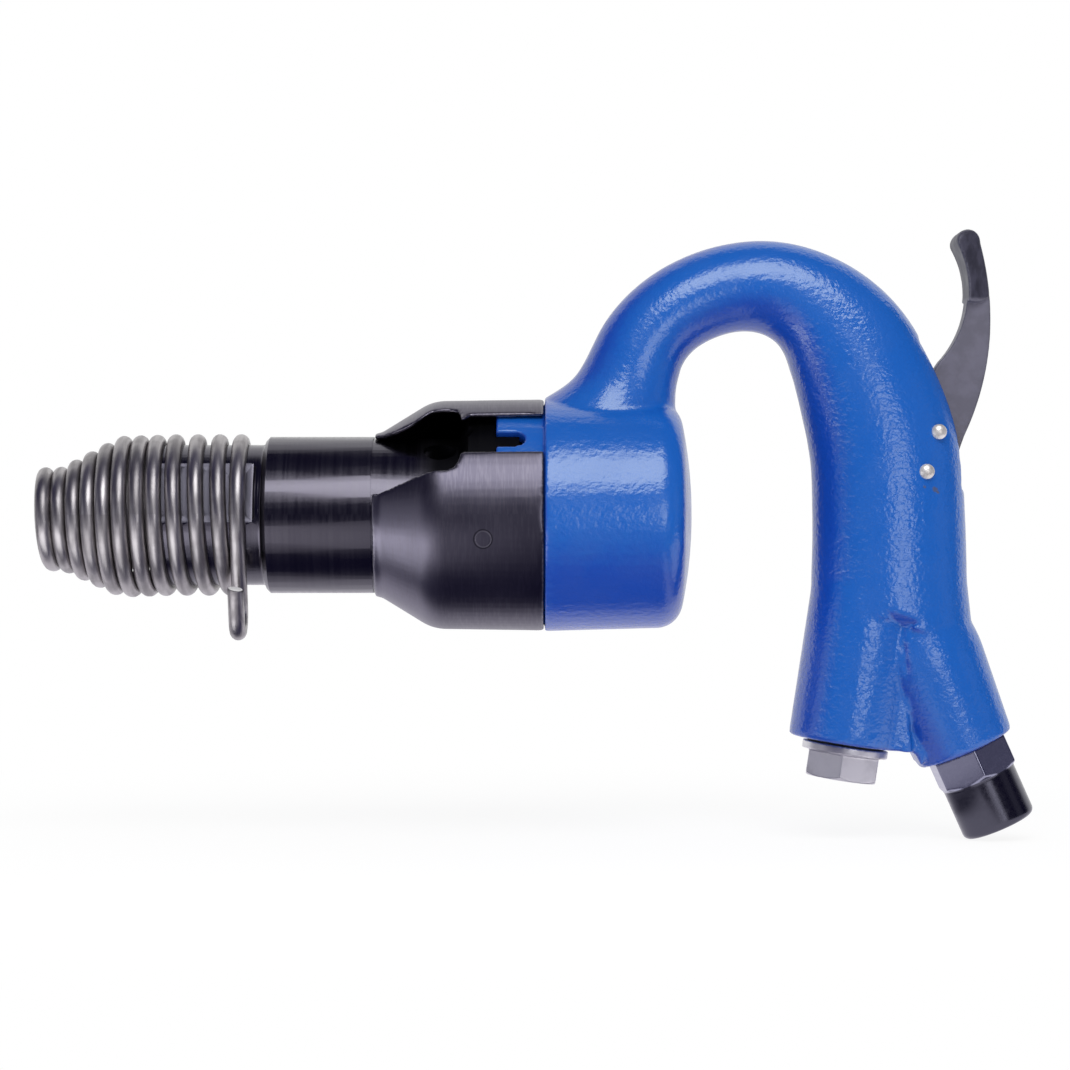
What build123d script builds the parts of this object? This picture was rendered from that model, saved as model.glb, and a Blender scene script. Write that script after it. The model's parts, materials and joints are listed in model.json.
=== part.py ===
from build123d import *
import math
import os

# A pneumatic chisel hammer with a gooseneck handle. Sizes are in millimetres and degrees.
# The origin is the mouth of the chisel bore. X runs along the tool to the handle, Z is up.

# Fits
press_gap = 0.02
running_gap = 0.05
thread_gap = 0.1
face_gap = 0.3

# Chamfer on the ends of hexagons
hex_chamfer = 30.0

# Barrel, from its nose to its rear thread
nose_radius = 21.35
nose_length = 30.7
nose_fillet = 2.8
flat_across = 38.4
flat_tilt = 20.0
barrel_radius = 23.8
barrel_front_length = 35.3
edge_chamfer = 1.1
recess_depth = 0.6
collar_step = 2.2
collar_width = 3.0
thread_engagement = 17.0
bore_radius = 14.3
port_radius = 4.0
port_setback = 20.5
port_slant = 35.0
port_count = 4
port_angle = 55.0

# Chisel bushing in the nose
shank_radius = 8.7
bushing_radius = 13.2
bushing_length = 45.0
bushing_flange = 5.0

# Piston
piston_length = 54.0
piston_start = 1.0
piston_chamfer = 1.2

# Beehive retainer spring, screwed on a rope thread round the nose
wire_diameter = 4.35
coil_gap = 0.42
body_coil_gap = 0.75
groove_pitch = 6.7
groove_depth = 1.45
groove_gap = 0.15
spring_mouth_radius = 13.5
spring_droop = 1.4
first_turn = 0.085
cone_start_turn = 1.4
cone_end_turn = 5.1
body_end_turn = 7.6
groove_start_turn = 8.3
runout_turn = 11.1
last_turn = 11.57
tail_setback = 4.4
tail_length = 19.6
tail_bend_radius = 5.5
tail_return = 10.4

# Exhaust deflector, a split sleeve that turns on the barrel
sleeve_wall = 1.45
sleeve_gap = 0.25
sleeve_radius = 34.7
sleeve_length = 51.4
sleeve_flare = 0.5
sleeve_neck_length = 1.7
sleeve_cone_length = 16.0
sleeve_neck_bend = 10.0
sleeve_shoulder_bend = 14.0
window_angle = 43.5
window_low = 11.9
window_low_rear = 12.6
window_length = 26.2
window_corner = 4.5
window_high = 13.4
window_waist = 7.3
window_waist_at = 11.0
window_waist_bend = 12.0
lobe_start = 17.5
lobe_high = 12.8
lobe_corner = 3.0
tooth_low = 6.0
slot_low = 6.6
slot_high = 9.5
slot_start = 29.5
slot_corner = 1.4
tooth_corner = 0.6

# Head of the handle, with its skirt under the deflector
head_step = 0.7
head_draft = 1.1
head_corner = 8.0
head_crown = 4.3
rear_wall = 9.6
skirt_length = 14.6
skirt_wall = 4.5
notch_width = 6.0
notch_depth = 8.7
notch_angle = 43.5

# Lock ring between the barrel and the skirt
ring_width = 5.0
ring_wall = 2.4
tang_length = 7.2
tang_width = 5.4

# Valve chest behind the barrel
chest_step = 1.4
case_length = 11.0
cover_length = 6.9
case_port_radius = 7.0
case_port_length = 3.0
valve_radius = 11.0
valve_length = 5.4
valve_bore_radius = 5.0
dowel_radius = 2.0
dowel_depth = 7.0
dowel_count = 2

# Gooseneck and grip: the arch is measured from the head's rear face and the tool axis
arch_setback = 15.9
arch_height = 69.8
arch_front_bend = 33.5
arch_rear_bend = 37.0
grip_bend = 153.0
arch_rear_turn = 70.0
# The handle's sections, each with its slope along the line, its outer and inner reach and half its depth.
section_slopes = [70, 50, 30, 10, -10, -30, -50, -70, -75, -80, -85, -90]
section_outer = [14.8, 13.4, 12.5, 12.8, 14.4, 16.2, 18.5, 20.9, 23.2, 24.4, 23.8, 23.8]
section_inner = [12.9, 12.9, 13.7, 13.9, 13.8, 15.2, 18.6, 20.1, 21.0, 21.5, 22.5, 22.9]
section_depth = [13.0, 12.8, 12.9, 13.1, 13.7, 14.7, 15.9, 17.0, 17.4, 17.8, 18.1, 18.4]
grip_straight = 14.0
grip_straight_section = (24.2, 23.2, 18.5)
grip_end_offset = (2.5, -26.0)
grip_end_slope = -109.5
grip_end_section = (25.4, 27.5, 18.6)

# Flare of the neck into the head: sections below the neck, with their drop, reach and depth
flare_drop = [27.0, 20.0, 13.0, 6.5]
flare_outer = [20.0, 22.0, 17.2, 15.5]
flare_inner = [17.0, 17.0, 16.2, 13.9]
flare_depth = [17.0, 16.4, 14.4, 13.4]

# Throttle boss and inlet boss at the foot of the grip, from the grip's bend end
throttle_foot = (-12.66, -62.5)
throttle_tilt = 8.5
throttle_boss_radius = 17.6
throttle_boss_shrink = 0.2
throttle_boss_length = 46.0
throttle_boss_root = 70.0
throttle_boss_root_radius = 13.5
inlet_foot = (23.8, -64.3)
inlet_tilt = 24.0
inlet_boss_radius = 15.1
inlet_boss_flare = 2.8
inlet_boss_length = 32.0
inlet_boss_root = 58.0
inlet_boss_root_radius = 13.0
boss_blend = 40.0
boss_edge = 0.9

# Webs that fill the crotch between the two bosses, and the crease along it, from the grip's bend end
web_outline = [(-6.0, -28.0), (2.0, -28.0), (6.2, -65.0), (-12.0, -62.3)]
web_half_depth = 12.6
crotch_outline = [(2.0, -40.0), (4.6, -64.7), (7.4, -65.2), (9.4, -69.4), (13.0, -60.0), (6.0, -40.0)]
crotch_half_depth = 9.5
crease_top = (2.2, -27.3)
crease_foot = (6.3, -63.4)
crease_depth = 13.2
crease_left = -1.4
crease_right = 3.0
crease_rise = 8.0
hollow_corners = [(-6.1, -20.7), (11.3, -25.7)]
hollow_rise = 5.2

# Throttle plug
plug_flange_radius = 13.05
plug_flange_height = 3.2
plug_hex_across = 21.2
plug_hex_height = 8.0
plug_hex_turn = -7.5
plug_thread_radius = 10.0
plug_thread_length = 14.0
plug_recess_radius = 6.8
plug_recess_depth = 5.0
seal_wall = 1.6
seal_height = 0.8

# Throttle valve train, upwards from the plug
chamber_radius = 9.0
seat_start = 62.0
seat_height = 6.0
seat_bore_radius = 5.5
outlet_radius = 6.0
outlet_length = 12.0
guide_radius = 5.5
rod_radius = 2.5
rod_seat_depth = 1.6
valve_head_radius = 7.5
valve_head_height = 5.0
valve_stem_radius = 3.0
valve_stem_length = 22.0
rod_seal_height = 2.4
throttle_wire = 1.2
throttle_coil_radius = 5.3
throttle_turns = 7.5

# Throttle lever, its pivot measured from the grip's bend end and its outline from the pivot
pivot_offset = (13.9, 31.8)
lever_thickness = 8.0
lever_side_gap = 0.5
pivot_radius = 2.4
toe_reach = 11.7
toe_lift = 4.0
toe_radius = 3.5
toe_gap = 0.1
lever_top = (9.9, 61.7)
lever_back = [(13.7, 57.6), (17.0, 37.0), (9.0, -1.0)]
lever_front = [(6.1, 57.4), (9.9, 42.0), (1.6, 21.7)]
lever_knee = (-4.5, 12.5)
tail_width = 6.0
tail_drop = 14.0
pad_width = 18.0
pad_centre = (12.2, 45.2)
pad_radius = 5.6
pad_corner = 4.0
pad_front = 7.0
pad_back = 18.0
stop_offset = (-4.0, -12.0)
stop_gap = 0.12
pin_dome = 1.1
lever_travel = 14.0

# Slot for the lever in the back of the grip, from the pivot
slot_floor_gap = 1.3
slot_floor_front = 7.5
slot_floor_rear = 6.0
slot_drop = 17.0
slot_throat = (-6.5, 24.0)
slot_mouth = (-2.0, 34.0)
slot_rear = 25.0
slot_front_rise = 14.0

# Inlet bushing and screen
inlet_hex_across = 22.9
inlet_hex_height = 9.7
inlet_hex_turn = 3.0
inlet_round_radius = 11.42
inlet_length = 25.8
inlet_round_edge = 2.0
inlet_thread_radius = 10.3
inlet_thread_length = 16.0
inlet_tap_radius = 7.34
inlet_tap_depth = 15.0
inlet_bore_radius = 5.6
passage_radius = 6.0
screen_wall = 0.8
screen_depth = 6.0
screen_hole_radius = 0.8
screen_hole_count = 6

# Stations along the tool
recess_x = nose_length + barrel_front_length
sleeve_x = recess_x + face_gap
sleeve_rear_x = sleeve_x + sleeve_length
head_x = sleeve_rear_x + face_gap
skirt_x = head_x - skirt_length
barrel_rear_x = head_x + thread_engagement
case_rear_x = barrel_rear_x + case_length
cover_rear_x = case_rear_x + cover_length
chest_rear_x = cover_rear_x + thread_gap
head_rear_x = chest_rear_x + rear_wall
ring_rear_x = skirt_x - face_gap
ring_x = ring_rear_x - ring_width
port_x = recess_x + port_setback

# Radii that follow from the fits
wire_radius = wire_diameter / 2
recess_radius = barrel_radius - recess_depth
sleeve_neck_radius = recess_radius + sleeve_gap + sleeve_wall
skirt_radius = sleeve_radius - sleeve_wall - sleeve_gap
thread_radius = skirt_radius - skirt_wall - thread_gap
collar_radius = thread_radius + collar_step
chest_radius = thread_radius - chest_step
dowel_circle = (bore_radius + chest_radius) / 2
head_front_radius = sleeve_radius + head_step
head_rear_radius = head_front_radius - head_draft
spring_radius = nose_radius + wire_radius + groove_gap - groove_depth

tool_axis = Plane(origin=(0, 0, 0), x_dir=(0, 1, 0), z_dir=(1, 0, 0))


def turned(plane, corners, radii=0):
    """Turn (radius, height) corners about the plane's normal, each corner with its rounding."""
    outline = FilletPolyline(*corners, radius=radii, close=True)
    return plane * revolve(make_face(Plane.XZ * outline), Axis.Z)


def ring(plane, start, end, outer, inner=0.0):
    """A disc, or a ring with a bore, from start to end along the plane's normal."""
    return turned(plane, [(inner, start), (outer, start), (outer, end), (inner, end)])


def hexagon(plane, start, height, across, turn):
    """A hexagon bar whose outer end has the usual turned chamfer."""
    bar = extrude(RegularPolygon(across / 2, 6, major_radius=False, rotation=turn), height)
    corner_radius = across / math.sqrt(3)
    rise = (corner_radius - across / 2) * math.tan(math.radians(hex_chamfer))
    cone = [(0, start), (across / 2, start), (corner_radius, start + rise)]
    cone += [(corner_radius, start + height), (0, start + height)]
    return plane * (Pos(0, 0, start) * bar) & turned(plane, cone)


def radial_plane(angle):
    """A plane through the tool axis whose normal leans up from the -Y side by the angle."""
    lean = math.radians(angle)
    return Plane(origin=(0, 0, 0), x_dir=(1, 0, 0), z_dir=(0, -math.cos(lean), math.sin(lean)))


# Retainer spring

def spring_x(turn):
    """Place of the wire along the tool, from the spring's pitch, which changes in steps."""
    closed = wire_diameter + coil_gap
    body = wire_diameter + body_coil_gap
    knots = [(cone_end_turn - 0.6, closed), (cone_end_turn, body), (body_end_turn, body)]
    knots += [(groove_start_turn, groove_pitch), (runout_turn, groove_pitch), (last_turn, 0.0)]
    place = nose_length - tail_setback
    upper_turn, upper_pitch = knots.pop()
    while knots and turn < upper_turn:
        lower_turn, lower_pitch = knots.pop()
        reach = max(turn, lower_turn)
        share = (reach - lower_turn) / (upper_turn - lower_turn)
        reach_pitch = lower_pitch + share * (upper_pitch - lower_pitch)
        place -= (upper_turn - reach) * (upper_pitch + reach_pitch) / 2
        upper_turn, upper_pitch = lower_turn, lower_pitch
    return place - max(upper_turn - turn, 0.0) * upper_pitch


def spring_point(turn):
    """Centre of the wire after a number of turns."""
    share = (turn - cone_start_turn) / (cone_end_turn - cone_start_turn)
    share = min(max(share, 0.0), 1.0)
    radius = spring_mouth_radius + share * (spring_radius - spring_mouth_radius)
    angle = math.tau * turn
    droop = spring_droop * max(1 - turn / groove_start_turn, 0.0)
    return Vector(spring_x(turn), radius * math.cos(angle), radius * math.sin(angle) - droop)


def spring_direction(turn):
    """Direction of the wire after a number of turns."""
    step = 0.02
    return (spring_point(min(turn + step, last_turn)) - spring_point(turn - step)).normalized()


def biarc(start, start_direction, end, end_direction):
    """Two arcs that join smoothly between two points with given directions."""
    chord = end - start
    along = chord.dot(start_direction + end_direction)
    bend = 2 * (1 - start_direction.dot(end_direction))
    reach = (math.sqrt(along**2 + bend * chord.dot(chord)) - along) / bend
    middle = (start + end + (start_direction - end_direction) * reach) / 2
    first = Edge.make_tangent_arc(start, start_direction, middle)
    return [first, Edge.make_tangent_arc(middle, first % 1, end)]


def coil_edges():
    """Half-turn biarcs from the first turn to the last one."""
    count = math.ceil((last_turn - first_turn) * 2)
    turns = [first_turn + (last_turn - first_turn) * i / count for i in range(count + 1)]
    edges = []
    for low, high in zip(turns, turns[1:]):
        start, end = spring_point(low), spring_point(high)
        edges += biarc(start, spring_direction(low), end, spring_direction(high))
    return edges


def tail_edges():
    """The wire's hooked tail: straight off the coil, round a bend and back on the -Y side."""
    start = spring_point(last_turn)
    down = spring_direction(last_turn)
    side = down.cross(Vector(1, 0, 0)).normalized()
    low = start + down * tail_length
    turn_middle = low + side * tail_bend_radius + down * tail_bend_radius
    back = low + side * 2 * tail_bend_radius
    bend = ThreePointArc(low, turn_middle, back).edge()
    return [Edge.make_line(start, low), bend, Edge.make_line(back, back - down * tail_return)]


def wire_along(edges, radius):
    """A round wire swept along joined edges."""
    path = Wire(edges)
    section = Plane(origin=path @ 0, z_dir=path % 0) * Circle(radius)
    return sweep(section, path=path)


def spring_self_gap():
    """Least clear gap between neighbouring turns and to the tail, measured on points."""
    count = int((last_turn - first_turn) * 36)
    points = [spring_point(first_turn + i / 36) for i in range(count + 1)]
    tail = Wire(tail_edges())
    points += [tail @ (i / 30) for i in range(1, 31)]
    gaps = [(a - b).length for i, a in enumerate(points) for b in points[i + 24:]]
    return min(gaps) - wire_diameter


def make_retainer_spring():
    return wire_along(coil_edges() + tail_edges(), wire_radius)


# Barrel and what is inside it

def make_barrel():
    step_x = nose_length + nose_fillet + edge_chamfer
    rounding = min(nose_fillet, 0.9 * (barrel_radius - nose_radius - edge_chamfer))
    cone_x = ring_x - 2 * collar_width
    seat_radius = bushing_radius + press_gap
    seat_x = bushing_length - bushing_flange
    outline = [
        (seat_radius, 0, 0),
        (nose_radius, 0, 0),
        (nose_radius, step_x - edge_chamfer, rounding),
        (barrel_radius - edge_chamfer, step_x - edge_chamfer, 0),
        (barrel_radius, step_x, 0),
        (barrel_radius, recess_x, 0),
        (recess_radius, recess_x, 0),
        (recess_radius, cone_x, 0),
        (collar_radius, cone_x + collar_width, 0),
        (collar_radius, ring_x, 0),
        (thread_radius, ring_x, 0),
        (thread_radius, barrel_rear_x, 0),
        (bore_radius, barrel_rear_x, 0),
        (bore_radius, seat_x, 0),
        (seat_radius, seat_x, 0),
    ]
    corners = [(radius, x) for radius, x, corner in outline]
    barrel = turned(tool_axis, corners, [corner for radius, x, corner in outline])
    for side in (0, 180):
        flat = Pos(nose_length / 2, -flat_across / 2 - nose_radius, 0) * Box(
            nose_length, 2 * nose_radius, 2 * nose_radius)
        barrel -= Rot(X=side - flat_tilt) * flat
    for i in range(port_count):
        place = radial_plane(port_angle + 360 * i / port_count) * Pos(port_x, 0, recess_radius)
        hole = Rot(Y=port_slant) * Cylinder(port_radius, 3 * (recess_radius - bore_radius))
        barrel -= place * hole
    for place in dowel_places(barrel_rear_x - dowel_depth):
        barrel -= place * dowel_hole()
    groove_arcs = 4 * math.ceil(last_turn - groove_start_turn + 1)
    groove_path = coil_edges()[-groove_arcs:] + tail_edges()[:1]
    return barrel - wire_along(groove_path, wire_radius + groove_gap)


def make_chisel_bushing():
    flange_x = bushing_length - bushing_flange
    corners = [(shank_radius, 0), (bushing_radius, 0), (bushing_radius, flange_x)]
    corners += [(bore_radius - press_gap, flange_x), (bore_radius - press_gap, bushing_length)]
    return turned(tool_axis, corners + [(shank_radius, bushing_length)])


def make_piston():
    front = bushing_length + piston_start
    rear = front + piston_length
    radius = bore_radius - running_gap
    corners = [(0, front), (radius - piston_chamfer, front), (radius, front + piston_chamfer)]
    corners += [(radius, rear - piston_chamfer), (radius - piston_chamfer, rear), (0, rear)]
    return turned(tool_axis, corners)


# Exhaust deflector

def sleeve_window():
    """Opening in the deflector, seen square on: a tapering mouth, a lobe and a slot to the rear."""
    before = sleeve_x - sleeve_neck_length
    beyond = sleeve_rear_x + sleeve_neck_length
    outline = [
        (before, -window_low, 0),
        (sleeve_x + window_length, -window_low_rear, window_corner),
        (sleeve_x + window_length, -slot_low, slot_corner),
        (beyond, -slot_low, 0),
        (beyond, slot_high, 0),
        (sleeve_x + slot_start, slot_high, slot_corner),
        (sleeve_x + window_length + tooth_corner, tooth_low, tooth_corner),
        (sleeve_x + window_length - tooth_corner, lobe_high, lobe_corner),
        (sleeve_x + lobe_start, lobe_high, lobe_corner),
        (sleeve_x + window_waist_at, window_waist, window_waist_bend),
        (before, window_high, 0),
    ]
    corners = [(x, y) for x, y, corner in outline]
    corner_radii = [corner for x, y, corner in outline]
    face = make_face(FilletPolyline(*corners, radius=corner_radii, close=True))
    return radial_plane(window_angle) * extrude(face, 2 * sleeve_radius)


def make_exhaust_deflector():
    neck_x = sleeve_x + sleeve_neck_length
    shoulder_x = neck_x + sleeve_cone_length
    lean = math.atan2(sleeve_radius - sleeve_neck_radius, sleeve_cone_length)
    shift = sleeve_wall * math.tan(lean / 2)
    outer = [(sleeve_neck_radius, sleeve_x), (sleeve_neck_radius, neck_x)]
    outer += [(sleeve_radius, shoulder_x), (sleeve_radius + sleeve_flare, sleeve_rear_x)]
    inner_neck = sleeve_neck_radius - sleeve_wall
    inner_body = sleeve_radius - sleeve_wall
    inner = [(inner_body + sleeve_flare, sleeve_rear_x), (inner_body, shoulder_x + shift)]
    inner += [(inner_neck, neck_x + shift), (inner_neck, sleeve_x)]
    neck_bend = min(sleeve_neck_bend, 0.8 * sleeve_neck_length / math.tan(lean / 2))
    radii = [0, neck_bend, sleeve_shoulder_bend, 0]
    radii += [0, sleeve_shoulder_bend - sleeve_wall, neck_bend + sleeve_wall, 0]
    return turned(tool_axis, outer + inner, radii) - sleeve_window()


# Handle casting

arch_top = Vector(head_rear_x + arch_setback, 0, arch_height)


def handle_path(slope):
    """Centre of the arch and grip where its line has the given slope."""
    angle = math.radians(slope)
    if slope >= 0:
        return arch_top + Vector(-math.sin(angle), 0, math.cos(angle) - 1) * arch_front_bend
    turn = min(-angle, math.radians(arch_rear_turn))
    point = arch_top + Vector(math.sin(turn), 0, math.cos(turn) - 1) * arch_rear_bend
    past = Vector(math.sin(-angle) - math.sin(turn), 0, math.cos(angle) - math.cos(turn))
    return point + past * grip_bend


grip_foot = handle_path(-90)
pivot = grip_foot + Vector(pivot_offset[0], 0, pivot_offset[1])
stop = pivot + Vector(stop_offset[0], 0, stop_offset[1])
toe = pivot + Vector(-toe_reach, 0, toe_lift)


def foot_axis(offset, tilt):
    """A plane on a boss face at the foot of the grip, its normal pointing up into the grip."""
    lean = math.radians(tilt)
    origin = grip_foot + Vector(offset[0], 0, offset[1])
    return Plane(origin=origin, x_dir=(0, -1, 0), z_dir=(math.sin(lean), 0, math.cos(lean)))


throttle_axis = foot_axis(throttle_foot, throttle_tilt)
inlet_axis = foot_axis(inlet_foot, -inlet_tilt)
rod_top = throttle_axis.to_local_coords(toe).Z - toe_radius - toe_gap
rod_travel = math.radians(lever_travel) * toe_reach
guide_top = rod_top - rod_travel - slot_floor_gap
outlet_top = seat_start + seat_height + outlet_length
valve_top = seat_start - thread_gap
rod_bottom = valve_top - rod_seat_depth


def slope_direction(slope):
    """Direction of the handle's line at a slope."""
    angle = math.radians(slope)
    return Vector(math.cos(angle), 0, math.sin(angle))


def oval(centre, slope, outer_reach, inner_reach, half_depth):
    """An oval across the handle's line, with its reach to the outer and the inner side."""
    along = slope_direction(slope)
    outward = along.cross(Vector(0, 1, 0))
    middle = centre + outward * ((outer_reach - inner_reach) / 2)
    plane = Plane(origin=middle, x_dir=outward, z_dir=along)
    return plane * Ellipse((outer_reach + inner_reach) / 2, half_depth)


def make_gooseneck():
    """Neck, arch and grip swept along the handle's line, with the grip's slanted end."""
    neck_slope = section_slopes[0]
    neck = handle_path(neck_slope)
    upward = slope_direction(neck_slope)
    ovals = []
    for drop, outer, inner, depth in zip(flare_drop, flare_outer, flare_inner, flare_depth):
        ovals.append(oval(neck - upward * drop, neck_slope, outer, inner, depth))
    for slope, outer, inner, depth in zip(section_slopes, section_outer, section_inner, section_depth):
        ovals.append(oval(handle_path(slope), slope, outer, inner, depth))
    edges = [Edge.make_line(neck - upward * flare_drop[0], neck)]
    bends = [neck_slope, 0, -arch_rear_turn, -90]
    for start, end in zip(bends, bends[1:]):
        edges.append(Edge.make_tangent_arc(handle_path(start), slope_direction(start), handle_path(end)))
    straight_end = grip_foot - Vector(0, 0, grip_straight)
    edges.append(Edge.make_line(grip_foot, straight_end))
    bend_section = (section_outer[-1], section_inner[-1], section_depth[-1])
    for share in (0.5, 1.0):
        reach = [a + (b - a) * share for a, b in zip(bend_section, grip_straight_section)]
        ovals.append(oval(grip_foot - Vector(0, 0, grip_straight * share), -90, *reach))
    gooseneck = sweep(ovals, path=Wire(edges), multisection=True)
    end = grip_foot + Vector(grip_end_offset[0], 0, grip_end_offset[1])
    gooseneck += loft([ovals[-1], oval(end, grip_end_slope, *grip_end_section)])
    inside = thread_radius + (head_front_radius - thread_radius) / 3
    gooseneck -= ring(tool_axis, skirt_x, head_rear_x, inside)
    return gooseneck - ring(tool_axis, skirt_x, head_x, 2 * head_front_radius)


gooseneck = make_gooseneck()


def make_head():
    rim = (head_rear_radius, head_rear_x - head_crown)
    half = head_rear_radius / 2
    sphere = (head_rear_radius**2 + head_crown**2) / (2 * head_crown)
    half_drop = sphere - math.sqrt(sphere**2 - half**2)
    dome = ThreePointArc(rim, (half, head_rear_x - half_drop), (0, head_rear_x))
    side = Polyline((0, head_rear_x), (0, skirt_x), (skirt_radius, skirt_x), (skirt_radius, head_x),
                    (head_front_radius, head_x), rim)
    face = make_face([dome, *side.edges()])
    corner = [v for v in face.vertices() if (Vector(*v) - Vector(*rim)).length < 0.01]
    return tool_axis * revolve(Plane.XZ * fillet(corner, head_corner), Axis.Z)


def make_bosses():
    root = throttle_boss_radius - throttle_boss_shrink
    corners = [(0, 0), (throttle_boss_radius, 0), (root, throttle_boss_length)]
    corners += [(throttle_boss_root_radius, throttle_boss_root), (0, throttle_boss_root)]
    throttle_boss = turned(throttle_axis, corners, [0, boss_edge, boss_blend, 0, 0])
    swell = inlet_boss_radius + inlet_boss_flare
    corners = [(0, 0), (inlet_boss_radius, 0), (swell, inlet_boss_length)]
    corners += [(inlet_boss_root_radius, inlet_boss_root), (0, inlet_boss_root)]
    bosses = throttle_boss + turned(inlet_axis, corners, [0, boss_edge, boss_blend, 0, 0])
    for outline, half_depth in ((web_outline, web_half_depth), (crotch_outline, crotch_half_depth)):
        web = make_face(Plane.XZ * Polyline(*outline, close=True))
        bosses += Pos(grip_foot.X, 0, grip_foot.Z) * extrude(web, half_depth, both=True)
    return bosses


def make_crease():
    """The crease between the bosses on the near side, with the three-cornered hollow at its top."""
    top = grip_foot + Vector(crease_top[0], -crease_depth, crease_top[1])
    foot = grip_foot + Vector(crease_foot[0], -crease_depth, crease_foot[1])
    along = foot - top
    profile = Polyline((0, 0), (crease_left, crease_rise), (crease_right, crease_rise), close=True)
    start = top - along.normalized() * crease_right / 2
    crease_plane = Plane(origin=start, x_dir=(-along.Z, 0, along.X), z_dir=along)
    crease = extrude(crease_plane * make_face(profile), 1.5 * along.length)
    corners = [grip_foot + Vector(x, -crease_depth - hollow_rise, z) for x, z in hollow_corners]
    facet_plane = Plane(origin=top, x_dir=corners[1] - corners[0],
                        z_dir=(top - corners[0]).cross(corners[1] - corners[0]))
    above = [Vector(corner.X, top.Y, corner.Z) for corner in corners]
    hollow = extrude(make_face(Polyline(top, *above, close=True)), 4 * hollow_rise, dir=(0, -1, 0))
    side = 4 * along.length
    outside = facet_plane * Pos(0, 0, side / 2) * Box(side, side, side)
    return crease + (hollow & outside)


def lever_slot():
    """Slot for the lever, with a floor square to the push rod and a pocket for the lever's tail."""
    floor_front = throttle_axis.from_local_coords(Vector(0, 0, guide_top))
    across = Vector(throttle_axis.z_dir.Z, 0, -throttle_axis.z_dir.X)
    front = floor_front - across * slot_floor_front
    rear = floor_front + across * slot_floor_rear
    corners = [(front.X, front.Z), (rear.X, rear.Z), (rear.X, pivot.Z - slot_drop)]
    corners += [(pivot.X + slot_rear, pivot.Z - slot_drop), (pivot.X + slot_rear, pivot.Z + slot_mouth[1])]
    corners += [(pivot.X + x, pivot.Z + z) for x, z in (slot_mouth, slot_throat)]
    corners += [(front.X, front.Z + slot_front_rise)]
    face = make_face(Plane.XZ * Polyline(*corners, close=True))
    return extrude(face, lever_thickness / 2 + lever_side_gap, both=True)


def throttle_bores():
    """Bores for the plug, the valve chamber, the outlet and the push rod guide."""
    bores = ring(throttle_axis, -1, plug_thread_length + 1, plug_thread_radius + thread_gap)
    bores += ring(throttle_axis, plug_thread_length, seat_start + seat_height, chamber_radius)
    bores += ring(throttle_axis, seat_start + seat_height - 1, outlet_top, outlet_radius)
    return bores + ring(throttle_axis, outlet_top - 1, guide_top + 1, guide_radius)


def inlet_bores():
    """Thread for the inlet bushing and the passage to the valve chamber."""
    bores = ring(inlet_axis, -1, inlet_thread_length + 1, inlet_thread_radius + thread_gap)
    return bores + ring(inlet_axis, inlet_thread_length, inlet_boss_root, passage_radius)


def make_handle():
    head = make_head() - ring(tool_axis, skirt_x - 1, barrel_rear_x, thread_radius + thread_gap)
    head -= ring(tool_axis, barrel_rear_x - 1, chest_rear_x, chest_radius)
    notch = Pos(skirt_x, 0) * Rectangle(2 * notch_depth - notch_width, notch_width)
    notch += Pos(skirt_x + notch_depth - notch_width / 2, 0) * Circle(notch_width / 2)
    head -= radial_plane(notch_angle) * extrude(notch, skirt_radius + 1)
    crease = make_crease()
    handle = head + gooseneck + make_bosses() - crease - mirror(crease, Plane.XZ)
    handle -= throttle_bores()
    handle -= inlet_bores()
    handle -= lever_slot()
    for centre in (pivot, stop):
        handle -= cross_hole(centre, pivot_radius - running_gap)
    return handle


# Lever and its pins

def cross_hole(centre, radius):
    """A cylinder along Y through a point, past both sides of the grip."""
    return Plane(origin=centre, z_dir=(0, 1, 0)) * Cylinder(radius, 4 * max(section_depth))


def ball_cap(radius, height):
    """A shallow ball cap on the XY plane."""
    ball = (radius**2 + height**2) / (2 * height)
    return Pos(0, 0, height - ball) * Sphere(ball) & Pos(0, 0, height / 2) * Cylinder(radius, height)


def make_pin(centre):
    """A pin across the grip with domed ends that stand proud of the casting."""
    radius = pivot_radius - 2 * running_gap
    reach = (gooseneck & cross_hole(centre, radius)).bounding_box().max.Y
    dome = Pos(0, 0, reach) * ball_cap(radius, pin_dome)
    pin = Cylinder(radius, 2 * reach) + dome + mirror(dome, Plane.XY)
    return Plane(origin=centre, z_dir=(0, 1, 0)) * pin


def make_lever_pad(side):
    """The broad pad for the palm, round at its foot, with flanks that draw in to the blade at the back."""
    width = max(pad_width, lever_thickness)
    half = lever_thickness / 2
    top = lever_top[1]
    above = Pos(pad_centre[0], top) * Rectangle(4 * pad_radius, 2 * (top - pad_centre[1]))
    zone = side & (above + Pos(*pad_centre) * Circle(pad_radius))
    flank = [(-pad_radius, width / 2), (pad_front, width / 2), (pad_back, half), (2 * pad_back, half)]
    plan = make_face(Polyline(*flank, *[(x, -y) for x, y in reversed(flank)], close=True))
    front = Pos(0, top / 2) * RectangleRounded(width, top, min(pad_corner, half))
    pad = extrude(Plane.XZ * zone, width / 2, both=True) & extrude(plan, 2 * top, both=True)
    return pad & extrude(Plane.YZ * front, 4 * pad_back, both=True)


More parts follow.
